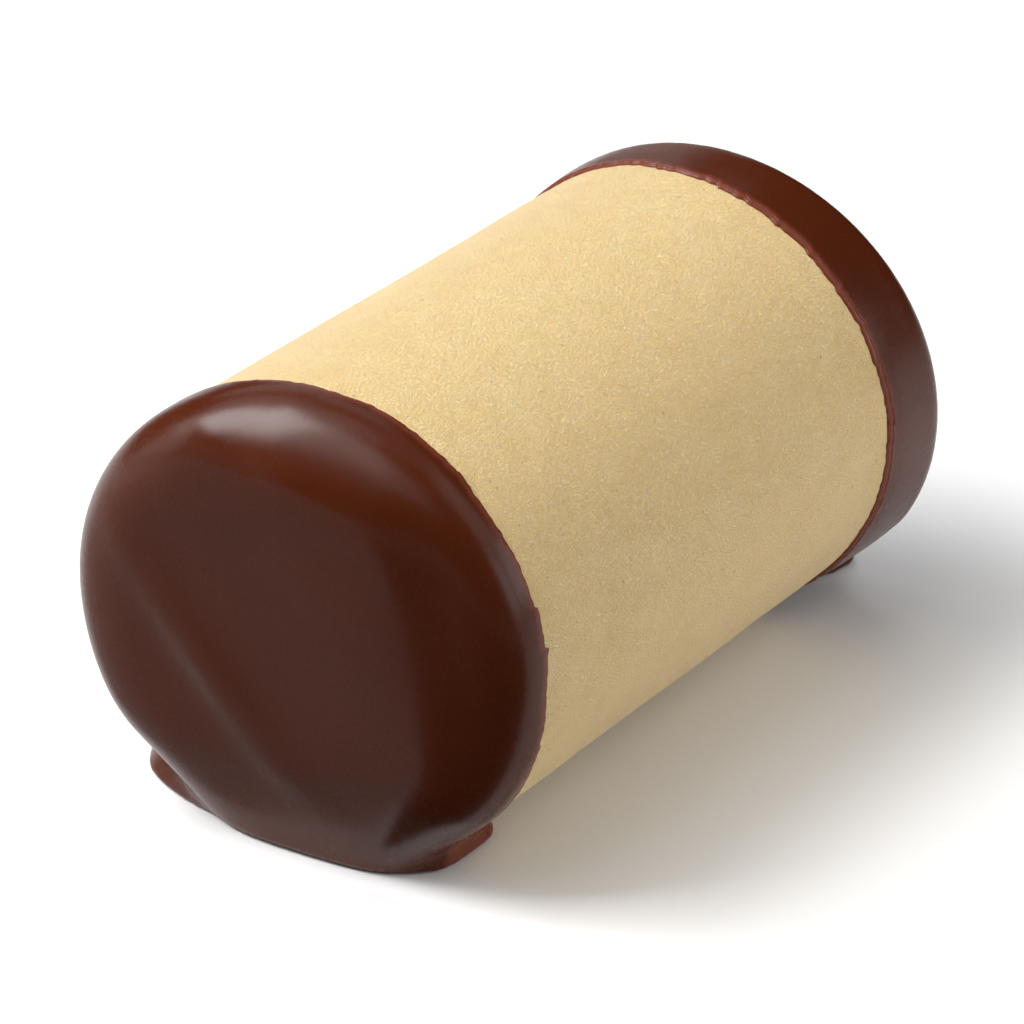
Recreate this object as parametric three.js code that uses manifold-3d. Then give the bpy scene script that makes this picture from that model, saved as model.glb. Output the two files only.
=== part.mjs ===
// A marzipan log pastry: a roll of soft dough wrapped in plain marzipan, both ends dipped in dark chocolate.
// The roll lies on its side. Each dip is a cup of chocolate round the end of the roll, with a thin wavy rim,
// a softly rounded corner and a gently uneven end face. Under each end the wet chocolate has run out into a
// flat foot.
import * as THREE from "three";
import { mergeVertices } from "three/addons/utils/BufferGeometryUtils.js";
import Module from "manifold-3d";

// Driving dimensions, in millimetres. The roll's axis runs along X at Y = 0, its near end towards -X, and the
// table is at Z = 0. The finished group is moved at the end, so that the middle of its base is the origin.
const ROLL_RADIUS = 16;
const AXIS_HEIGHT = 15.6; // the roll sags a little, so its axis is lower than its radius
const COAT_SIDE = 0.35; // chocolate proud of the marzipan on the side
const COAT_RIM = 0.22; // and at the rim
const COAT_FACE = 1.4; // chocolate over the end of the roll
const RIM_TAPER = 2.5; // length over which the coat thickens from the rim
const LIP = 0.15; // rounding of the rim's edge
const ROLL_STEP = 0.4; // how far the roll is let in under the chocolate
const ROLL_CHAMFER = 2.6; // at the roll's hidden ends
const GAP = 0.3; // clearance between the roll and the chocolate
const FOOT_FILM = 0.6; // chocolate between the roll and the table
const END_SLANT = 0.13; // both ends were cut a little out of square: X lost for each mm of Y
const FOOT_HEIGHT = 1.6;
const FOOT_ROUND = 0.5; // rounding of the foot's upper edge

const SIDE_STARTS = 0.8 * ROLL_RADIUS; // the end face gives way to the side between these two radii
const SIDE_FULL = 0.95 * ROLL_RADIUS;
const STRAY_FROM = 3; // a rim's waves fade in over the last millimetres on either side of it
const STRAY_FULL = 0.5;
const TUCK_FROM = -9; // height against the axis below which the face is drawn in

const ROUND_SEGMENTS = 72;
const LENGTH_SEGMENTS = 6;
const CORNER_RINGS = 11;
const CORNER_START = 0.1; // angle at which the rounded corner takes over from the rim, in radians
const FACE_RINGS = [0.8, 0.62, 0.46, 0.31, 0.15, 0]; // shares of the radius
const FOOT_SEGMENTS = 44;

// The two dips. At the rim the chocolate starts, and at the face it crosses the axis. The squareness is the
// exponent of the rounded corner between side and face, where 2 is an ellipse. The lean moves the rim along X
// round the angle leanAt, where 0 is the back, 90 degrees the top and 180 the front. Tuck draws the face in at
// its lower edge, and drop is X gained for each mm further down. Each foot is an outline between an ellipse
// and a rectangle.
const NEAR = {
  name: "near_chocolate_end",
  out: -1,
  rim: -19.05,
  face: -25.45,
  squareness: 5.8,
  lean: -3.0,
  leanAt: 0.35,
  leanSpread: 3,
  tuck: 0.9,
  drop: 0,
  ripples: [
    { count: 7, height: 0.09, phase: 0.4 },
    { count: 17, height: 0.05, phase: 1.9 },
  ],
  ridges: [
    { y: 4.5, z: -2.5, along: [0.64, 0.77], width: 2.0, reach: 9, height: 0.35 },
    { y: -5.0, z: 3.0, along: [0.55, 0.83], width: 3.4, reach: 8, height: 0.3 },
    { y: -11.5, z: 4.5, along: [0.3, 0.95], width: 2.6, reach: 8, height: -0.45 },
    { y: 2.0, z: 10.5, along: [0.97, -0.25], width: 2.8, reach: 9, height: 0.3 },
  ],
  foot: { x: -17.5, y: 3.3, length: 11.8, width: 24.6, squareness: 2.6, slant: 0 },
};
const FAR = {
  name: "far_chocolate_end",
  out: 1,
  rim: 18.45,
  face: 24.9,
  squareness: 14,
  lean: 0.8,
  leanAt: Math.PI,
  leanSpread: 6,
  tuck: 0,
  drop: 0.055,
  ripples: [
    { count: 6, height: 0.08, phase: 2.1 },
    { count: 15, height: 0.05, phase: 0.6 },
  ],
  ridges: [
    { y: -3.5, z: -1.0, along: [0.5, -0.87], width: 3.0, reach: 9, height: 0.35 },
    { y: 6.0, z: 4.0, along: [0.8, 0.6], width: 3.0, reach: 8, height: -0.3 },
  ],
  foot: { x: 25.9, y: 3.2, length: 8.4, width: 23.2, squareness: 2.3, slant: 0.13 },
};

const clamp01 = (t) => Math.min(1, Math.max(0, t));
const smooth = (low, high, v) => {
  const t = clamp01((v - low) / (high - low));
  return t * t * (3 - 2 * t);
};
const power = (v, exponent) => Math.sign(v) * Math.abs(v) ** exponent;

// How far a dip's rim strays along X from its mean place, at an angle round the roll.
function rimStray(angle, dip) {
  const lean = dip.lean * ((1 + Math.cos(angle - dip.leanAt)) / 2) ** dip.leanSpread;
  return dip.ripples.reduce((sum, r) => sum + r.height * Math.sin(r.count * angle + r.phase), lean);
}

// The shape that the whole log shares: wavy rims, ends out of square, and a flat underside at the height given.
function shapeLog(geometry, base) {
  const at = geometry.getAttribute("position");
  for (let i = 0; i < at.count; i++) {
    const x = at.getX(i);
    const y = at.getY(i);
    const z = at.getZ(i);
    const dip = x < 0 ? NEAR : FAR;
    const onSide = smooth(SIDE_STARTS, SIDE_FULL, Math.hypot(y, z));
    const byRim = smooth(STRAY_FROM, STRAY_FULL, Math.abs(x - dip.rim));
    const stray = rimStray(Math.atan2(z, y), dip) * byRim * onSide;
    const share = clamp01((x - dip.rim) / (dip.face - dip.rim));
    const tuck = dip.tuck * smooth(TUCK_FROM, -AXIS_HEIGHT, z) - dip.drop * z;
    at.setXYZ(i, x + stray + share * (tuck - END_SLANT * y), y, Math.max(AXIS_HEIGHT + z, base));
  }
  return geometry;
}

// A solid of revolution about the X axis, from points of (distance along X, radius).
function turned(profile) {
  const points = profile.map(([x, radius]) => new THREE.Vector2(radius, x));
  return new THREE.LatheGeometry(points, ROUND_SEGMENTS).rotateZ(-Math.PI / 2).rotateX(Math.PI / 2);
}

// The roll, or with a positive margin the room that it takes inside the chocolate.
function rollGeometry(margin) {
  const under = ROLL_RADIUS - ROLL_STEP + margin;
  const shown = ROLL_RADIUS + margin;
  // Half of the profile, from the hidden end to the side that shows, as seen from each dip.
  const half = (dip) => {
    const end = dip.face - dip.out * (COAT_FACE + GAP - margin);
    const step = dip.rim + dip.out * (margin - GAP);
    return [
      [end, 0],
      [end, under * 0.5],
      [end, under - ROLL_CHAMFER],
      [end - dip.out * 0.3 * ROLL_CHAMFER, under - 0.3 * ROLL_CHAMFER],
      [end - dip.out * ROLL_CHAMFER, under],
      [step, under],
      [step, shown],
    ];
  };
  const near = half(NEAR);
  const far = half(FAR);
  const start = near.at(-1)[0];
  const segment = (far.at(-1)[0] - start) / LENGTH_SEGMENTS;
  const between = Array.from({ length: LENGTH_SEGMENTS - 1 }, (_, i) => [start + (i + 1) * segment, shown]);
  return shapeLog(turned([...near, ...between, ...far.toReversed()]), FOOT_FILM + GAP - margin);
}

// Soft hills and hollows left in the end face as the chocolate set, as X towards the outside. Y runs across
// the face and z up from the axis. Each ridge is a line through a point, with a direction, a half width and
// a height.
function faceRelief(y, z, dip) {
  const relief = dip.ridges.reduce((sum, ridge) => {
    const along = (y - ridge.y) * ridge.along[0] + (z - ridge.z) * ridge.along[1];
    const across = (y - ridge.y) * ridge.along[1] - (z - ridge.z) * ridge.along[0];
    return sum + ridge.height * Math.exp(-((across / ridge.width) ** 2) - (along / ridge.reach) ** 2);
  }, 0);
  return relief * smooth(ROLL_RADIUS, SIDE_STARTS, Math.hypot(y, z));
}

// The outside of one dip, as a closed solid from a flat back inside the roll to the end face.
function dipGeometry(dip) {
  const depth = dip.face - dip.rim;
  const side = ROLL_RADIUS + COAT_SIDE;
  const lip = [
    [dip.rim, 0],
    [dip.rim, SIDE_STARTS],
    [dip.rim, ROLL_RADIUS + COAT_RIM - LIP],
    [dip.rim + dip.out * LIP, ROLL_RADIUS + COAT_RIM],
  ];
  const corner = Array.from({ length: CORNER_RINGS }, (_, i) => {
    const turn = CORNER_START + ((Math.PI / 2 - CORNER_START) * i) / (CORNER_RINGS - 1);
    const along = power(Math.sin(turn), 2 / dip.squareness);
    const thin = (COAT_SIDE - COAT_RIM) * smooth(RIM_TAPER, 0, Math.abs(depth * along));
    return [dip.rim + depth * along, (side - thin) * power(Math.cos(turn), 2 / dip.squareness)];
  });
  const face = FACE_RINGS.map((share) => [dip.face, share * side]);
  const outward = [...lip, ...corner.filter((point) => point[1] > (FACE_RINGS[0] + 0.05) * side), ...face];
  const geometry = turned(dip.out < 0 ? outward.toReversed() : outward);
  const at = geometry.getAttribute("position");
  for (let i = 0; i < at.count; i++) {
    const onFace = smooth(0.5, 0.85, (at.getX(i) - dip.rim) / depth);
    at.setX(i, at.getX(i) + dip.out * onFace * faceRelief(at.getY(i), at.getZ(i), dip));
  }
  return shapeLog(geometry, 0);
}

// The foot that a dip stands on, with an outline a little uneven and a rounded upper edge.
function footGeometry(foot) {
  const exponent = 2 / foot.squareness;
  const outline = Array.from({ length: FOOT_SEGMENTS }, (_, i) => {
    const turn = (i / FOOT_SEGMENTS) * 2 * Math.PI;
    const swell = 1 + 0.01 * Math.sin(5 * turn + 1) + 0.006 * Math.sin(9 * turn);
    const across = swell * (foot.width / 2 - FOOT_ROUND) * power(Math.sin(turn), exponent);
    const along = swell * (foot.length / 2 - FOOT_ROUND) * power(Math.cos(turn), exponent);
    return new THREE.Vector2(foot.x + along - foot.slant * across, foot.y + across);
  });
  const geometry = new THREE.ExtrudeGeometry(new THREE.Shape(outline), {
    depth: FOOT_HEIGHT - FOOT_ROUND,
    bevelThickness: FOOT_ROUND,
    bevelSize: FOOT_ROUND,
    bevelSegments: 2,
  });
  const at = geometry.getAttribute("position");
  for (let i = 0; i < at.count; i++) at.setZ(i, Math.max(at.getZ(i), 0));
  return geometry;
}

const wasm = await Module();
wasm.setup();

// Turns a closed geometry into a solid that can be joined and cut.
function solid(geometry) {
  const bare = geometry.clone().deleteAttribute("normal").deleteAttribute("uv");
  const merged = mergeVertices(bare, 1e-4);
  return new wasm.Manifold(
    new wasm.Mesh({
      numProp: 3,
      vertProperties: merged.getAttribute("position").array,
      triVerts: new Uint32Array(merged.index.array),
    }),
  );
}

// Turns a solid back into a geometry.
function geometryOf(made) {
  const mesh = made.getMesh();
  const geometry = new THREE.BufferGeometry();
  geometry.setAttribute("position", new THREE.BufferAttribute(mesh.vertProperties, 3));
  geometry.setIndex(new THREE.BufferAttribute(mesh.triVerts, 1));
  geometry.computeVertexNormals();
  return geometry;
}

function piece(name, made, material) {
  const mesh = new THREE.Mesh(geometryOf(made), new THREE.MeshStandardMaterial(material));
  mesh.name = name;
  return mesh;
}

const MARZIPAN = { color: 0xe6cb90, roughness: 0.6, metalness: 0 };
const CHOCOLATE = { color: 0x3f2019, roughness: 0.35, metalness: 0 };

const log = new THREE.Group();
log.add(piece("marzipan_roll", solid(rollGeometry(0)), MARZIPAN));

const roomForRoll = solid(rollGeometry(GAP));
for (const dip of [NEAR, FAR]) {
  const dipped = solid(dipGeometry(dip)).add(solid(footGeometry(dip.foot)));
  log.add(piece(dip.name, dipped.subtract(roomForRoll), CHOCOLATE));
}

// The origin is the middle of the base of the whole log.
const bounds = new THREE.Box3().setFromObject(log);
const middle = bounds.getCenter(new THREE.Vector3());
log.position.set(-middle.x, -middle.y, -bounds.min.z);

export default log;
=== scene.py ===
from math import atan2, cos, exp, hypot, pi, radians, sin

import bpy
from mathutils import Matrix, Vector


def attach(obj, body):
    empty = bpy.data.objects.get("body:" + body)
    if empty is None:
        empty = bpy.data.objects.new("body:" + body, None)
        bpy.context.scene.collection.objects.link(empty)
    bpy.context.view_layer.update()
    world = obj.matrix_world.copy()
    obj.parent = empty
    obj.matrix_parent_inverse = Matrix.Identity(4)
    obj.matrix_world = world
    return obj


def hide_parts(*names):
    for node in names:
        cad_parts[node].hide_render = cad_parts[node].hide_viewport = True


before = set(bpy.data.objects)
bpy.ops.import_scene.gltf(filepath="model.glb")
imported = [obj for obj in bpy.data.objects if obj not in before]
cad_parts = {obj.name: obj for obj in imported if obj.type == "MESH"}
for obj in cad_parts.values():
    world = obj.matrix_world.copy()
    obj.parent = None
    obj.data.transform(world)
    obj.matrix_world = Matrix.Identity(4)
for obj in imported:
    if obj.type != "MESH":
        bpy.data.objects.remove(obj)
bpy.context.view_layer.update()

MM = 0.001


# The camera and the studio. The pastry lies on a plain pale table, looked down on from its near end. The
# strongest light is a soft box high on the left, and weaker ones stand round the rest of it.
ROLL_SHIFT = -1.654 * MM  # from the middle of the frame to the middle of the roll
AXIS_HEIGHT = 15.6 * MM  # of the roll's axis above the table
CAMERA_FROM_AXIS = Vector((-214.73, -156.16, 145.78)) * MM
CAMERA_TURN = radians(-53.892)
CAMERA_FALL = radians(29.012)  # how steeply it looks down
LENS = 162.88
LAMP_DISTANCE = 0.45
LAMP_AIM = Vector((0, 0, 0.016))
CARD_HEIGHT = 0.0002  # above the table

bpy.ops.object.select_all(action="DESELECT")
bpy.ops.object.camera_add(
    location=CAMERA_FROM_AXIS + Vector((ROLL_SHIFT, 0, AXIS_HEIGHT)),
    rotation=(pi / 2 - CAMERA_FALL, 0, CAMERA_TURN),
)
camera = bpy.context.object
camera.data.lens = LENS
camera.data.sensor_width = 36
camera.data.clip_start = 0.01
bpy.context.scene.camera = camera
bpy.context.scene.view_settings.view_transform = "Standard"


def soft_panel(name, azimuth, elevation, brightness, width=0.20, height=0.17):
    """A soft box turned to face the pastry, at an angle round it from +X and an angle above the table."""
    away, up = radians(azimuth), radians(elevation)
    toward_lamp = Vector((cos(away) * cos(up), sin(away) * cos(up), sin(up)))
    bpy.ops.object.light_add(
        type="AREA",
        location=toward_lamp * LAMP_DISTANCE + LAMP_AIM,
        rotation=(-toward_lamp).to_track_quat("-Z", "Y").to_euler(),
    )
    lamp = bpy.context.object
    lamp.name = name
    lamp.data.shape = "RECTANGLE"
    lamp.data.size = width
    lamp.data.size_y = height
    lamp.data.energy = brightness * pi * width * height


soft_panel("key_high", 131, 52, 16, 0.22, 0.19)
soft_panel("key_middle", 112, 30, 3.0)
soft_panel("key_low", 120, 12, 1.6)
soft_panel("key_back", 92, 54, 1.6)
soft_panel("top", 135, 78, 1.5)
soft_panel("top_front", 310, 70, 0.4, 0.30, 0.30)
soft_panel("back_low", 35, 12, 0.6)
soft_panel("back_middle", 51, 34, 1.0)
soft_panel("back_high", 30, 56, 1.0)
soft_panel("left_low", 152, 12, 0.5)
soft_panel("left_high", 172, 54, 3.2)
soft_panel("left_front", 201, 45, 1.2)
soft_panel("right_low", 300, 14, 3.3)
soft_panel("front_low", 270, 14, 2.9)
soft_panel("front_high", 285, 45, 1.25, 0.34, 0.26)

world = bpy.data.worlds.new("dark_studio")
bpy.context.scene.world = world
world.use_nodes = True
world.node_tree.nodes["Background"].inputs["Strength"].default_value = 0.02


def material(name):
    """A new material with its own tree and its Principled BSDF."""
    paint = bpy.data.materials.new(name)
    paint.use_nodes = True
    return paint, paint.node_tree, paint.node_tree.nodes["Principled BSDF"]


def plain_paint(name, colour, roughness):
    """A new material of one colour."""
    paint, _, surface = material(name)
    surface.inputs["Base Color"].default_value = colour
    surface.inputs["Roughness"].default_value = roughness
    return paint


bpy.ops.mesh.primitive_plane_add(size=3, location=(0, 0, 0))
table = bpy.context.object
table.name = "pale_table"
table.data.materials.append(plain_paint("pale_table_top", (0.9, 0.9, 0.9, 1), 0.6))

# A black and a grey card lie on the table before the near end. The camera doesn't see them and they cast no
# shadow, but the chocolate mirrors them.
for name, place, width, length, card_colour in (
    ("black_card", (-0.1185, -0.099), 0.185, 0.186, (0.01, 0.01, 0.01, 1)),
    ("grey_card", (-0.134, 0.075), 0.212, 0.16, (0.42, 0.42, 0.42, 1)),
):
    bpy.ops.mesh.primitive_plane_add(size=1, location=(*place, CARD_HEIGHT))
    card = bpy.context.object
    card.name = name
    card.scale = (width, length, 1)
    card.data.materials.append(plain_paint(name, card_colour, 0.9))
    card.visible_camera = False
    card.visible_shadow = False


# The marzipan roll. A sheet of plain marzipan is wrapped round soft dough and rolled on a board, which leaves
# it round, a little flat underneath, and finely grained all over. Its ends are hidden in the chocolate.
ROLL_RADIUS = 16 * MM
ROLL_SIDES = 320
ROLL_RING = 0.26 * MM  # between two rings of the side that shows
ROLL_ENDS = (-23.7 * MM, 23.4 * MM)
ROLL_SHOWN = (-20.2 * MM, 19.6 * MM)  # past both rims
ROLL_STEP = 0.4 * MM  # how much thinner it is where the chocolate hides it
STEP_LENGTH = 0.15 * MM
CHAMFER = ((0, 5.2 * MM), (1.4 * MM, 2.0 * MM), (3.2 * MM, 0))  # in from the near end, down from the side
FAR_CHAMFER = ((2.6 * MM, 0), (0.8 * MM, 0.8 * MM), (0, 2.6 * MM))
UNDERSIDE = 0.9 * MM  # height above the table of the flat that it was rolled with
FLAT_BLEND = 0.35 * MM
END_SLANT = 0.13  # both ends are cut out of square
SLANT_FROM = 19 * MM  # from the middle, either way
SLANT_REACH = 5 * MM
NEAR_RIM = -19.05 * MM  # where the chocolate of the near end stops, on most sides
NEAR_LEAN = (-3.0 * MM, 0.35, 3)  # how much further out it stops at the back, at what angle, how narrowly


def turned(name, outline, sides):
    """A closed round piece about the X axis, drawn out of a disc from point to point (along X, radius)."""
    (x, radius), *rest = outline
    bpy.ops.object.select_all(action="DESELECT")
    bpy.ops.mesh.primitive_circle_add(
        vertices=sides, radius=radius, fill_type="NGON", location=(x, 0, 0), rotation=(0, pi / 2, 0)
    )
    piece = bpy.context.object
    piece.name = name
    bpy.ops.object.transform_apply(location=True, rotation=True, scale=True)
    bpy.ops.object.mode_set(mode="EDIT")
    bpy.ops.mesh.select_all(action="SELECT")
    for next_x, next_radius in rest:
        bpy.ops.mesh.extrude_region_move(TRANSFORM_OT_translate={"value": (next_x - x, 0, 0)})
        share = next_radius / radius
        bpy.ops.transform.resize(value=(1, share, share), center_override=(next_x, 0, 0))
        x, radius = next_x, next_radius
    bpy.ops.mesh.select_all(action="SELECT")
    bpy.ops.mesh.normals_make_consistent(inside=False)
    bpy.ops.object.mode_set(mode="OBJECT")
    return piece


def lean(angle, rim_lean):
    """How far a rim strays along X on one side, at an angle round the roll from its back over its top."""
    depth, at, spread = rim_lean
    return depth * ((1 + cos(angle - at)) / 2) ** spread


def fade(low, high, value):
    """Runs softly from 0 at low to 1 at high."""
    t = min(1, max(0, (value - low) / (high - low)))
    return t * t * (3 - 2 * t)


def by_rim(stray, x, y, z, rim):
    """A rim's stray at a point: full beside the rim on the outside, and faded out elsewhere."""
    beside = fade(3 * MM, 1.3 * MM, abs(x - rim))
    outside = fade(0.8 * ROLL_RADIUS, 0.95 * ROLL_RADIUS, hypot(y, z))
    return stray * beside * outside


def soft_floor(height, floor, blend):
    """The height, held above the floor with a rounded change of slope from a blend below it to one above."""
    over = (height - floor) / blend
    if over > 1:
        return height
    if over < -1:
        return floor
    return floor + blend * (over + 1) ** 2 / 4


def lay_down(piece, underside):
    """Moves a piece from the roll's axis to its place on the table, with its underside pressed flat."""
    for vertex in piece.data.vertices:
        vertex.co.x += ROLL_SHIFT
        vertex.co.z = soft_floor(AXIS_HEIGHT + vertex.co.z, underside, FLAT_BLEND)
    piece.data.update()


def select_only(*pieces):
    """Selects these pieces alone, the first of them active."""
    bpy.ops.object.select_all(action="DESELECT")
    for piece in pieces:
        piece.select_set(True)
    bpy.context.view_layer.objects.active = pieces[0]


def clouded(piece, name, size, depth):
    """Hills and hollows of one size over a whole piece."""
    cloud = bpy.data.textures.new(name, "CLOUDS")
    cloud.noise_scale = size
    cloud.noise_depth = 1
    uneven = piece.modifiers.new(name, "DISPLACE")
    uneven.texture = cloud
    uneven.strength = depth
    uneven.mid_level = 0.5
    select_only(piece)
    bpy.ops.object.modifier_apply(modifier=name)


shown_rings = round((ROLL_SHOWN[1] - ROLL_SHOWN[0]) / ROLL_RING)
hidden_radius = ROLL_RADIUS - ROLL_STEP
roll_outline = [(ROLL_ENDS[0] + inward, hidden_radius - down) for inward, down in CHAMFER]
roll_outline.append((ROLL_SHOWN[0] - STEP_LENGTH, hidden_radius))
for i in range(shown_rings + 1):
    roll_outline.append((ROLL_SHOWN[0] + i * ROLL_RING, ROLL_RADIUS))
roll_outline.append((ROLL_SHOWN[1] + STEP_LENGTH, hidden_radius))
roll_outline += [(ROLL_ENDS[1] - inward, hidden_radius - down) for inward, down in FAR_CHAMFER]
roll = turned("marzipan", roll_outline, ROLL_SIDES)
clouded(roll, "rolled_by_hand", 9 * MM, 0.16 * MM)
clouded(roll, "almond_grain", 0.7 * MM, 0.05 * MM)
for vertex in roll.data.vertices:
    x, y, z = vertex.co
    slanted = min(1, max(0, (abs(x) - SLANT_FROM) / SLANT_REACH))
    vertex.co.x += by_rim(lean(atan2(z, y), NEAR_LEAN), x, y, z, NEAR_RIM) - slanted * END_SLANT * y
lay_down(roll, UNDERSIDE)


def node_group(name, inputs, outputs):
    """An empty shader group, with its inputs as name: value and its outputs as name: socket type."""
    group = bpy.data.node_groups.new(name, "ShaderNodeTree")
    for label, value in inputs.items():
        socket = group.interface.new_socket(label, in_out="INPUT", socket_type="NodeSocketFloat")
        socket.default_value = value
    for label, kind in outputs.items():
        group.interface.new_socket(label, in_out="OUTPUT", socket_type=kind)
    group.nodes.new("NodeGroupInput").name = "in"
    group.nodes.new("NodeGroupOutput").name = "out"
    return group


def add(tree, kind, **values):
    """A node with its properties set, and its inputs set or linked by name or number."""
    node = tree.nodes.new(kind)
    for key, value in values.pop("inputs", {}).items():
        if isinstance(value, bpy.types.NodeSocket):
            tree.links.new(value, node.inputs[key])
        else:
            node.inputs[key].default_value = value
    for key, value in values.items():
        setattr(node, key, value)
    return node


def maths(tree, operation, *inputs):
    """The result of one Math node."""
    node = add(tree, "ShaderNodeMath", operation=operation, inputs=dict(enumerate(inputs)))
    return node.outputs[0]


def between(tree, value, low, high, to_low=0.0, to_high=1.0):
    """A value mapped from one range to another, and held inside it."""
    inputs = {"Value": value, "From Min": low, "From Max": high, "To Min": to_low, "To Max": to_high}
    return add(tree, "ShaderNodeMapRange", inputs=inputs).outputs["Result"]


def tint(tree, share, low, high):
    """A colour between two, by a share."""
    node = add(tree, "ShaderNodeMix", data_type="RGBA")
    for socket, value in ((node.inputs[0], share), (node.inputs[6], low), (node.inputs[7], high)):
        if isinstance(value, bpy.types.NodeSocket):
            tree.links.new(value, socket)
        else:
            socket.default_value = value
    return node.outputs[2]


# Ground almonds leave short fine strokes in all directions, with small crumbs of brown skin between them and
# grains of sugar that catch the light. The sugar grains are smoother and are painted paler: partly their own
# pale colour, partly a painted glint.
STROKE_WAYS = 4
STROKE_SCALE = (3800.0, 20000.0, 1.0)  # along the strokes and across them
SWAY_SCALE = 1300.0
SWAY = 1.2
NO_CRUMB = 0.62  # share of the cells that hold no crumb
NO_SUGAR = 0.72


def stroke_layer():
    """Strokes of one direction, swaying a little, from the place on the unrolled surface."""
    group = node_group("stroke_layer", {"Turn": 0.0, "Seed": 0.0}, {"Strokes": "NodeSocketFloat"})
    ends = group.nodes["in"].outputs
    place = add(group, "ShaderNodeTexCoord").outputs["Object"]
    split = add(group, "ShaderNodeSeparateXYZ", inputs={0: place})
    up = maths(group, "SUBTRACT", split.outputs["Z"], AXIS_HEIGHT)
    round_way = maths(group, "MULTIPLY", maths(group, "ARCTAN2", split.outputs["Y"], up), ROLL_RADIUS)
    flat = add(group, "ShaderNodeCombineXYZ", inputs={"X": split.outputs["X"], "Y": round_way, "Z": 0.0})
    turned_way = add(group, "ShaderNodeVectorRotate", rotation_type="Z_AXIS",
                     inputs={"Vector": flat.outputs[0], "Angle": ends["Turn"]})
    drawn = add(group, "ShaderNodeVectorMath", operation="MULTIPLY",
                inputs={0: turned_way.outputs[0], 1: STROKE_SCALE})
    sway = add(group, "ShaderNodeTexNoise",
               inputs={"Vector": flat.outputs[0], "Scale": SWAY_SCALE, "Detail": 0.0})
    aside = maths(group, "MULTIPLY_ADD", sway.outputs["Fac"], SWAY, ends["Seed"])
    offset = add(group, "ShaderNodeCombineXYZ", inputs={"X": ends["Seed"], "Y": aside, "Z": ends["Seed"]})
    shifted = add(group, "ShaderNodeVectorMath", operation="ADD",
                  inputs={0: drawn.outputs[0], 1: offset.outputs[0]})
    strokes = add(group, "ShaderNodeTexNoise",
                  inputs={"Vector": shifted.outputs[0], "Scale": 1.0, "Detail": 0.0})
    group.links.new(strokes.outputs["Fac"], group.nodes["out"].inputs["Strokes"])
    return group


def almond_grain():
    """The marzipan's surface from the place on it: raised and sunk strokes, patches, specks and glints."""
    group = node_group(
        "almond_grain", {},
        {"Raised": "NodeSocketFloat", "Sunk": "NodeSocketFloat", "Patches": "NodeSocketFloat",
         "Specks": "NodeSocketFloat", "Glints": "NodeSocketFloat"},
    )
    place = add(group, "ShaderNodeTexCoord").outputs["Object"]
    layer = stroke_layer()
    ways = [add(group, "ShaderNodeGroup", node_tree=layer) for _ in range(STROKE_WAYS)]
    for i, way in enumerate(ways):
        way.inputs["Turn"].default_value = 0.2 + 0.8 * i
        way.inputs["Seed"].default_value = 31.0 * i
    first = maths(group, "MAXIMUM", ways[0].outputs[0], ways[1].outputs[0])
    second = maths(group, "MAXIMUM", ways[2].outputs[0], ways[3].outputs[0])
    lowest = maths(group, "MINIMUM", ways[0].outputs[0], ways[2].outputs[0])
    highest = maths(group, "MAXIMUM", first, second)
    patches = add(group, "ShaderNodeTexNoise", inputs={"Vector": place, "Scale": 420.0, "Detail": 3.0})
    ground = add(group, "ShaderNodeTexNoise", inputs={"Vector": place, "Scale": 8500.0, "Detail": 1.0})
    crumbs = add(group, "ShaderNodeTexVoronoi", inputs={"Vector": place, "Scale": 1000.0})
    crumb_pick = add(group, "ShaderNodeSeparateColor", inputs={0: crumbs.outputs["Color"]})
    crumb_size = between(group, crumb_pick.outputs[0], NO_CRUMB, 1.0, 0.02, 0.13)
    dot = between(group, maths(group, "SUBTRACT", crumbs.outputs["Distance"], crumb_size), 0.03, -0.03)
    picked = maths(group, "GREATER_THAN", crumb_pick.outputs[0], NO_CRUMB)
    sugar = add(group, "ShaderNodeTexVoronoi", inputs={"Vector": place, "Scale": 2600.0})
    sugar_pick = add(group, "ShaderNodeSeparateColor", inputs={0: sugar.outputs["Color"]})
    lit = maths(group, "GREATER_THAN", sugar_pick.outputs[1], NO_SUGAR)
    glint = between(group, sugar.outputs["Distance"], 0.30, 0.14)
    ridges = between(group, highest, 0.58, 0.78, 0, 0.7)
    results = {
        "Raised": maths(group, "MULTIPLY_ADD", ground.outputs["Fac"], 1.3, ridges),
        "Sunk": between(group, lowest, 0.41, 0.27),
        "Patches": patches.outputs["Fac"],
        "Specks": maths(group, "MULTIPLY", picked, dot),
        "Glints": maths(group, "MULTIPLY", lit, glint),
    }
    for label, socket in results.items():
        group.links.new(socket, group.nodes["out"].inputs[label])
    return group


MARZIPAN_PALE = (0.97, 0.735, 0.355, 1)
MARZIPAN_DEEP = (0.84, 0.555, 0.192, 1)
MARZIPAN_SPECK = (0.46, 0.27, 0.10, 1)
# The sugar grains' colour: their own pale colour and a painted glint.
MARZIPAN_SUGAR_AND_GLINT = (1.0, 0.86, 0.58, 1)

marzipan, tree, skin = material("rolled_marzipan")
grain = add(tree, "ShaderNodeGroup", node_tree=almond_grain())
height = maths(tree, "MULTIPLY_ADD", grain.outputs["Sunk"], -0.8, grain.outputs["Raised"])
height = maths(tree, "MULTIPLY_ADD", grain.outputs["Glints"], 0.8, height)
# Through the height the sugar grains also come out paler in the tone, part of the painted glint.
tone = maths(tree, "MULTIPLY_ADD", grain.outputs["Patches"], 0.6, maths(tree, "MULTIPLY", height, 0.34))
colour = tint(tree, between(tree, tone, 0.15, 1.0), MARZIPAN_DEEP, MARZIPAN_PALE)
colour = tint(tree, maths(tree, "MULTIPLY", grain.outputs["Specks"], 0.55), colour, MARZIPAN_SPECK)
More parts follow.
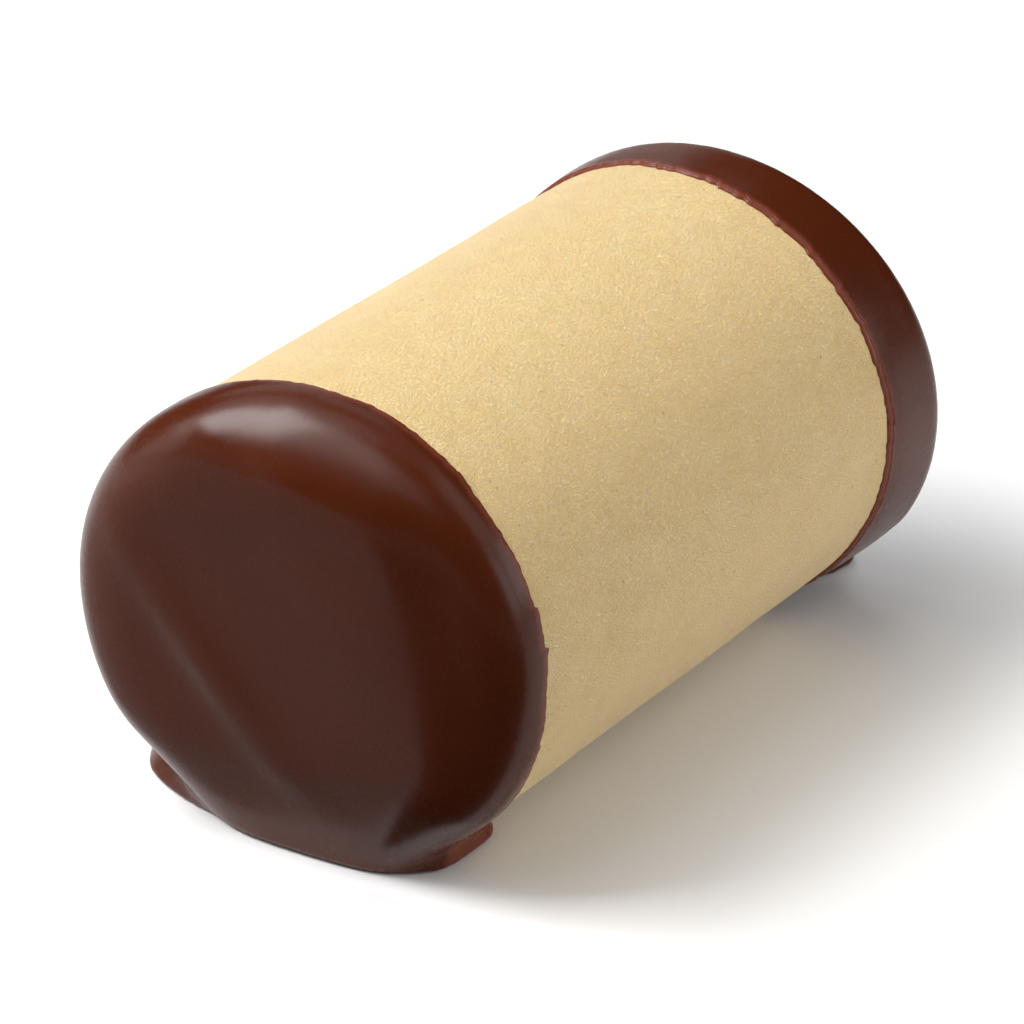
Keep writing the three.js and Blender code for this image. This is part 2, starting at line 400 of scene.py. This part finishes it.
# Sugar grains painted paler: their own pale colour and a painted glint.
colour = tint(tree, maths(tree, "MULTIPLY", grain.outputs["Glints"], 0.8), colour, MARZIPAN_SUGAR_AND_GLINT)
tree.links.new(colour, skin.inputs["Base Color"])
tree.links.new(between(tree, grain.outputs["Glints"], 0, 1, 0.44, 0.22), skin.inputs["Roughness"])
relief = add(tree, "ShaderNodeBump", inputs={"Height": height, "Strength": 1.0, "Distance": 0.055 * MM})
tree.links.new(relief.outputs[0], skin.inputs["Normal"])
skin.inputs["Sheen Weight"].default_value = 0.26
skin.inputs["Sheen Roughness"].default_value = 0.5
skin.inputs["Subsurface Weight"].default_value = 0.12
skin.inputs["Subsurface Radius"].default_value = (1.0, 0.6, 0.3)
skin.inputs["Subsurface Scale"].default_value = 0.5 * MM

select_only(roll)
bpy.ops.object.shade_smooth()
roll.data.materials.append(marzipan)
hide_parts("marzipan_roll")
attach(roll, "root")


# The near chocolate end. The roll was dipped end first into dark chocolate and set down while wet, so the
# coat ends in a thin wavy rim, its corner is soft, and under it the chocolate has run out into a flat foot.
COAT_SIDE = 0.35 * MM  # thickness on the side
COAT_RIM = 0.22 * MM  # and at the rim
RIM_TAPER = 2.5 * MM  # over which it thins out
DIP_SIDES = 256
END_RINGS = 70
CORNER_BOW = 2.2  # 2 would be a plain ellipse
FALL_START = 1.3 * MM  # from the rim to where the side begins to fall towards the face
FALL_POWER = 2.1
SIDE_SHARE = 0.2  # shares of the way from the rim to the middle of the face
CORNER_SHARE = 0.6
FACE_SHARE = 0.2
FACE_COVER = 0.98  # a small disc in the middle of the face closes it
TUCK_FROM = -7 * MM  # the height under the axis where the lower edge begins to be drawn in
SAG_AT = 3.95  # angle round the end, between its front and its underside
SAG_SPREAD = 0.55
NOTCH_REACH = 0.2  # in radians round the rim
NOTCH_FADE = 0.06
FINEST = 0.22 * MM  # size of the blocks that a dip is joined from
FOOT_HEIGHT = 1.6 * MM
FOOT_SIDES = 144
FOOT_SPARE = 0.3  # in millimetres, lost again when the foot is settled
FOOT_ROUNDING = 0.75 * MM
FOOT_TOP = 0.45  # in millimetres, how far in from its length and width the flat top begins
FOOT_RISES = ((1.2, 1.1), (2.8, 1.5))  # in millimetres, from that top up to the end: rise and narrowing
SETTLED_TURNS = 36
FILLED_TURNS = 400
FILLED_FROM = (0.3 * MM, 1.2 * MM)  # heights between which the filling in sets in
FILLED_UP_TO = (6.5 * MM, 3.5 * MM)  # and from which down it works
COAT_BASE = 0.15 * MM  # height above the table
ROOM_BASE = 0.5 * MM
OVERRUN = 2.6 * MM  # the coat is made longer than it is and cut back to the rim
OVERRUN_RINGS = 4
FACE_THICKNESS = 1.7 * MM
LIP = 0.3 * MM  # the rounding of the rim's edge
LIP_STEPS = 8
RIM_BITE = 0.12 * MM  # how deep the rim sits in the marzipan
TINTED_EDGE = (0.8 * MM, 0.3 * MM)  # from the rim: where its own colour sets in, and where it is full
ROOM_SIDES = 720

NEAR = {
    "name": "near_chocolate",
    "node": "near_chocolate_end",
    "out": -1,  # the way along X from the rim to the face
    "rim": NEAR_RIM,
    "face": -25.45 * MM,
    # Degrees round the end, then in millimetres the corner's width on the face, its length on the side and
    # how far the side falls towards it.
    "corner": [
        (0, 6.5, 2.9, 0), (45, 4.9, 3.2, 0), (65, 3.4, 3.4, 0.4), (84, 3.5, 4.7, 1.7), (108, 3.4, 5.5, 2.4),
        (123, 3.6, 5.5, 2.0), (150, 6.4, 6.2, 0.6), (185, 7, 6.2, 0), (220, 5, 3.5, 0), (250, 2.2, 1.5, 0),
        (290, 2.2, 1.5, 0), (320, 5.5, 2.8, 0), (360, 6.5, 2.9, 0),
    ],
    "lean": NEAR_LEAN,
    "tuck": 1.3 * MM,  # how far the lower edge is drawn in
    "drop": 0.0,  # how far out the face leans for each unit of depth under the axis
    "sag": 0.0,  # how far the low front swells
    # How many go round the rim, their height in millimetres and their phase.
    "waves": [
        (7, 0.09, 0.4), (17, 0.05, 1.9), (29, 0.02, 0.7), (53, 0.02, 2.2), (89, 0.02, 0.3), (127, 0.02, 1.1),
    ],
    # The angle round the rim and the depth in millimetres.
    "notches": [(2.97, 0.34), (2.80, 0.22), (2.2, 0.12), (3.4, 0.15), (0.9, 0.2), (4.6, 0.2)],
    # On the face, a point (across and up from the axis) and a direction, then width, reach and rise.
    "ridges": [
        (4.5, -2.5, 0.64, 0.77, 1.5, 9, 0.7),
        (-5.0, 3.0, 0.55, 0.83, 3.4, 8, 0.25),
        (-11.5, 4.5, 0.3, 0.95, 2.6, 8, -0.40),
        (2.0, 10.5, 0.97, -0.25, 2.8, 9, 0.25),
    ],
    # In millimetres the middle, length and width, then how square its corners are and how slanted it lies.
    "foot": (-17.5, 3.3, 11.8, 24.6, 2.6, 0.0),
}


def bowed(value, power):
    """A share raised to a power, with its sign kept."""
    return abs(value) ** power * (1 if value >= 0 else -1)


def rim_stray(angle, dip):
    """How far the rim strays along X, at an angle round the roll: 0 at the back, pi / 2 at the top."""
    stray = lean(angle, dip["lean"])
    for count, height, phase in dip["waves"]:
        stray += height * MM * sin(count * angle + phase)
    for at, height in dip["notches"]:
        past = (angle - at) % (2 * pi)
        if past < NOTCH_REACH:
            stray -= dip["out"] * height * MM * exp(-past / NOTCH_FADE)
    return stray


def end_shift(x, y, z, dip):
    """How far a point of the end moves along X: it is out of square, and its lower edge goes in or out."""
    share = min(1, max(0, (x - dip["rim"]) / (dip["face"] - dip["rim"])))
    tuck = dip["tuck"] * fade(TUCK_FROM, -AXIS_HEIGHT, z)
    return share * (tuck - dip["drop"] * z - END_SLANT * y)


def face_relief(y, z, dip):
    """Soft hills and hollows that the wet chocolate left in the end face, each along a line."""
    height = 0
    for at_y, at_z, run_y, run_z, width, reach, rise in dip["ridges"]:
        off_y, off_z = y / MM - at_y, z / MM - at_z
        along = off_y * run_y + off_z * run_z
        across = off_y * run_z - off_z * run_y
        height += rise * exp(-((across / width) ** 2) - (along / reach) ** 2)
    return height * MM * fade(ROLL_RADIUS, 0.78 * ROLL_RADIUS, hypot(y, z))


def corner_at(angle, dip):
    """The corner's width on the face, its length on the side, and the side's fall, at an angle round it."""
    spots = dip["corner"]
    turn = angle % (2 * pi)
    for (low, *first), (high, *second) in zip(spots, spots[1:]):
        if turn <= radians(high):
            share = fade(radians(low), radians(high), turn)
            return [(a + (b - a) * share) * MM for a, b in zip(first, second)]


def end_profile(way, angle, dip):
    """How far out and how wide the end is, on the way from 0 at its rim to 1 in the middle of its face."""
    depth = abs(dip["face"] - dip["rim"])
    side = ROLL_RADIUS + COAT_SIDE
    width, length, fall = corner_at(angle, dip)
    face_start = SIDE_SHARE + CORNER_SHARE
    if way < SIDE_SHARE:
        along = way / SIDE_SHARE * (depth - length)
        radius = side
    elif way < face_start:
        turn = (way - SIDE_SHARE) / CORNER_SHARE * pi / 2
        along = depth - length + length * bowed(sin(turn), 2 / CORNER_BOW)
        radius = side - width + width * bowed(cos(turn), 2 / CORNER_BOW)
    else:
        along = depth
        radius = (side - width) * (1 - FACE_COVER * (way - face_start) / FACE_SHARE)
    lower = fall * (max(0, along - FALL_START) / (depth - FALL_START)) ** FALL_POWER * radius / side
    return along, radius - lower - (COAT_SIDE - COAT_RIM) * fade(RIM_TAPER, 0, along)


def coated_end(dip):
    """The dipped end as a solid body, from a little past the rim to the face."""
    out, rim, depth = dip["out"], dip["rim"], dip["face"] - dip["rim"]
    side = ROLL_RADIUS + COAT_SIDE
    outline = [(rim - out * OVERRUN, ROLL_RADIUS - 3 * MM), (rim - out * OVERRUN, ROLL_RADIUS - 0.6 * MM)]
    for i in range(1, OVERRUN_RINGS + 1):
        outline.append((rim - out * OVERRUN * (1 - i / OVERRUN_RINGS), ROLL_RADIUS + COAT_RIM))
    for i in range(1, END_RINGS + 1):
        outline.append((rim + depth * i / END_RINGS, side * (1 - FACE_COVER * i / END_RINGS)))
    body = turned(dip["name"], outline, DIP_SIDES)
    for vertex in body.data.vertices:
        x, y, z = vertex.co
        way = (x - rim) / depth
        if way > 0.001:
            angle = atan2(z, y) % (2 * pi)
            along, radius = end_profile(way, angle, dip)
            low_front = exp(-((angle - SAG_AT) / SAG_SPREAD) ** 2)
            radius += dip["sag"] * low_front * fade(0, 0.6, way) * radius / side
            x = rim + out * along
            y, z = y * radius / hypot(y, z), z * radius / hypot(y, z)
        on_face = fade(0.5, 0.85, (x - rim) / depth)
        vertex.co = (x + end_shift(x, y, z, dip) + out * on_face * face_relief(y, z, dip), y, z)
    return body


def puddle(dip):
    """The foot that the wet chocolate ran out into: a rounded outline and edge, and a slope up to the end."""
    at_x, at_y, length, width, squareness, slant = dip["foot"]
    bpy.ops.object.select_all(action="DESELECT")
    bpy.ops.mesh.primitive_cylinder_add(
        vertices=FOOT_SIDES, radius=1, depth=FOOT_HEIGHT, location=(0, 0, FOOT_HEIGHT / 2)
    )
    foot = bpy.context.object
    bpy.ops.object.transform_apply(location=True, rotation=False, scale=False)
    for vertex in foot.data.vertices:
        turn = atan2(vertex.co.y, vertex.co.x)
        swell = MM * (1 + 0.01 * sin(5 * turn + 1) + 0.006 * sin(9 * turn))
        across = swell * (width / 2 + FOOT_SPARE) * bowed(sin(turn), 2 / squareness)
        along = swell * (length / 2 + FOOT_SPARE) * bowed(cos(turn), 2 / squareness)
        vertex.co.x = at_x * MM + along - slant * across
        vertex.co.y = at_y * MM + across
    bpy.ops.object.mode_set(mode="EDIT")
    bpy.ops.mesh.select_all(action="DESELECT")
    bpy.ops.object.mode_set(mode="OBJECT")
    for edge in foot.data.edges:
        edge.select = all(foot.data.vertices[v].co.z > 0.9 * FOOT_HEIGHT for v in edge.vertices)
    bpy.ops.object.mode_set(mode="EDIT")
    bpy.ops.mesh.bevel(offset=FOOT_ROUNDING, segments=6)
    bpy.ops.mesh.select_all(action="DESELECT")
    bpy.ops.object.mode_set(mode="OBJECT")
    for face in foot.data.polygons:
        face.select = face.normal.z > 0.99 and face.center.z > 0.9 * FOOT_HEIGHT
    bpy.ops.object.mode_set(mode="EDIT")
    half_length, half_width = length / 2 - FOOT_TOP, width / 2 - FOOT_TOP
    for rise, narrower in FOOT_RISES:
        bpy.ops.mesh.extrude_region_move(TRANSFORM_OT_translate={"value": (0, 0, rise * MM)})
        bpy.ops.transform.resize(
            value=(1 - narrower / half_length, 1 - narrower / half_width, 1),
            center_override=(at_x * MM, at_y * MM, 0),
        )
        half_length -= narrower
        half_width -= narrower
    bpy.ops.object.mode_set(mode="OBJECT")
    for vertex in foot.data.vertices:
        vertex.co.x += ROLL_SHIFT
    return foot


def room_for_roll(dip):
    """What is cut out of a dip: the roll inside it and all past its rim, whose edge is left rounded."""
    out, rim = dip["out"], dip["rim"]
    inner = dip["face"] - out * FACE_THICKNESS
    under = ROLL_RADIUS - ROLL_STEP - 0.02 * MM
    outline = [(inner - out * inward, under - down) for inward, down in CHAMFER]
    outline.append((rim + out * 1.3 * MM, under))
    outline.append((rim + out * 1.2 * MM, ROLL_RADIUS - RIM_BITE))
    outline.append((rim, ROLL_RADIUS - RIM_BITE))
    for i in range(LIP_STEPS + 1):
        turn = pi / 2 * i / LIP_STEPS
        rounded = LIP * (1 - cos(turn))
        outline.append((rim + out * rounded, ROLL_RADIUS - 0.1 * MM + (COAT_RIM + 0.1 * MM) * sin(turn)))
    for past in (-0.3, 6, 18):
        outline.append((rim - out * past * MM, ROLL_RADIUS + COAT_RIM + 0.3 * MM))
    room = turned("room_for_roll", outline, ROOM_SIDES)
    for vertex in room.data.vertices:
        x, y, z = vertex.co
        vertex.co.x += end_shift(x, y, z, dip) + by_rim(rim_stray(atan2(z, y), dip), x, y, z, rim)
    lay_down(room, ROOM_BASE)
    return room


def dipped_end(dip, paint):
    """One chocolate end: the coat and its foot run together, then cut out for the roll."""
    body = coated_end(dip)
    lay_down(body, COAT_BASE)
    select_only(body, puddle(dip))
    bpy.ops.object.join()
    run_together = body.modifiers.new("run_together", "REMESH")
    run_together.mode = "VOXEL"
    run_together.voxel_size = FINEST
    bpy.ops.object.modifier_apply(modifier="run_together")
    low = body.vertex_groups.new(name="low")
    for vertex in body.data.vertices:
        z = vertex.co.z
        low.add([vertex.index], fade(*FILLED_FROM, z) * fade(*FILLED_UP_TO, z), "REPLACE")
    for name, turns, group in (("settled", SETTLED_TURNS, ""), ("filled_in", FILLED_TURNS, "low")):
        even = body.modifiers.new(name, "SMOOTH")
        even.factor = 0.5
        even.iterations = turns
        even.vertex_group = group
        bpy.ops.object.modifier_apply(modifier=name)
    for vertex in body.data.vertices:
        vertex.co.z = soft_floor(vertex.co.z, 0, 0.06 * MM)
    room = room_for_roll(dip)
    select_only(body)
    cut = body.modifiers.new("cut_out", "BOOLEAN")
    cut.operation = "DIFFERENCE"
    cut.solver = "MANIFOLD"
    cut.object = room
    bpy.ops.object.modifier_apply(modifier="cut_out")
    bpy.data.objects.remove(room)
    bpy.ops.object.shade_smooth()
    edge = body.data.attributes.new("thin_edge", "FLOAT", "POINT")
    for vertex in body.data.vertices:
        x, y, z = vertex.co.x - ROLL_SHIFT, vertex.co.y, vertex.co.z - AXIS_HEIGHT
        rim = dip["rim"] + end_shift(dip["rim"], y, z, dip) + rim_stray(atan2(z, y), dip)
        edge.data[vertex.index].value = fade(*TINTED_EDGE, dip["out"] * (x - rim))
    body.data.materials.clear()
    body.data.materials.append(paint)
    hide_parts(dip["node"])
    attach(body, "root")


CHOCOLATE_DEEP = (0.062, 0.0114, 0.0030, 1)
CHOCOLATE_WARM = (0.076, 0.0142, 0.0038, 1)
CHOCOLATE_EDGE = (0.155, 0.036, 0.019, 1)  # at the thin rim, and on what lies past it, parts of both feet too

chocolate, tree, skin = material("dark_chocolate")
place = add(tree, "ShaderNodeTexCoord").outputs["Object"]
flow = add(tree, "ShaderNodeTexNoise", inputs={"Vector": place, "Scale": 160.0, "Detail": 3.0})
colour = tint(tree, flow.outputs["Fac"], CHOCOLATE_DEEP, CHOCOLATE_WARM)
thin = add(tree, "ShaderNodeAttribute", attribute_name="thin_edge").outputs["Fac"]
tree.links.new(tint(tree, thin, colour, CHOCOLATE_EDGE), skin.inputs["Base Color"])
bloom = add(tree, "ShaderNodeTexNoise", inputs={"Vector": place, "Scale": 900.0, "Detail": 4.0})
tree.links.new(between(tree, bloom.outputs["Fac"], 0.3, 0.7, 0.25, 0.29), skin.inputs["Roughness"])
fine = add(tree, "ShaderNodeTexNoise", inputs={"Vector": place, "Scale": 2600.0, "Detail": 2.0})
relief = add(tree, "ShaderNodeBump",
             inputs={"Height": fine.outputs["Fac"], "Strength": 0.05, "Distance": 0.02 * MM})
tree.links.new(relief.outputs[0], skin.inputs["Normal"])
skin.inputs["IOR"].default_value = 1.31

dipped_end(NEAR, chocolate)


# The far chocolate end. It was dipped about as deep as the near one, and its face leans outwards at the front
# and the bottom. Its corner is sharper, and its foot has run out further than its face.
FAR = {
    "name": "far_chocolate",
    "node": "far_chocolate_end",
    "out": 1,
    "rim": 18.45 * MM,
    "face": 24.9 * MM,
    "corner": [(0, 2.6, 1.3, 0), (360, 2.6, 1.3, 0)],
    "lean": (1.3 * MM, pi, 5),
    "tuck": 0.0,
    "drop": 0.07,
    "sag": 0.85 * MM,
    "waves": [
        (6, 0.08, 2.1), (15, 0.05, 0.6), (29, 0.035, 1.4), (61, 0.03, 0.2), (97, 0.03, 1.7),
        (131, 0.025, 0.9),
    ],
    "notches": [(1.45, 0.22), (1.75, 0.25), (2.05, 0.12), (3.9, 0.18), (5.2, 0.15)],
    "ridges": [
        (-3.5, -1.0, 0.5, -0.87, 3.0, 9, 0.35),
        (6.0, 4.0, 0.8, 0.6, 3.0, 8, -0.3),
    ],
    "foot": (25.9, 3.2, 8.4, 23.2, 2.3, 0.13),
}

dipped_end(FAR, chocolate)
